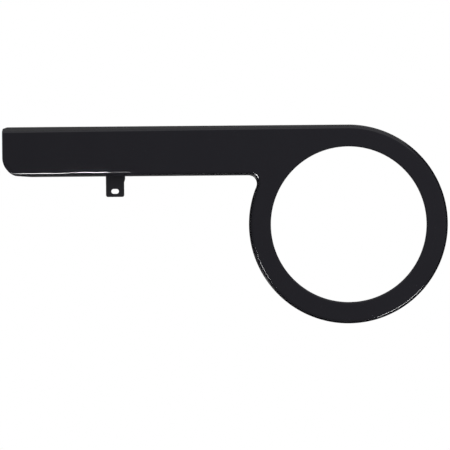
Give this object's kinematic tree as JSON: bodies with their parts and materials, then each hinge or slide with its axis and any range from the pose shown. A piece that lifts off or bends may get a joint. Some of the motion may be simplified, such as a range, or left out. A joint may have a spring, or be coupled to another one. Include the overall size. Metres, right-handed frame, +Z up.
{
  "type": "motorcycle chain guard",
  "caption": "Pressed steel chain guard: a ring round the chainwheel and a straight flanged arm over the upper run of the chain, with two bolting brackets.",
  "frame": {"origin": "on the crank's axis, at the centre of the ring, in the plane of the face's front side", "axes": "+X to the front of the vehicle, away from the arm; +Y inwards to the vehicle, the way the flange goes back; +Z up, as mounted"},
  "size_m": [0.4444, 0.0259, 0.199],
  "materials": {
    "shell_paint": "gloss black stove enamel on pressed steel sheet",
    "bracket_paint": "gloss black paint on bent steel strip"
  },
  "bodies": {
    "root": {"guard_shell": "shell_paint", "rear_tab": "bracket_paint", "front_bracket": "bracket_paint"}
  },
  "joints": []
}
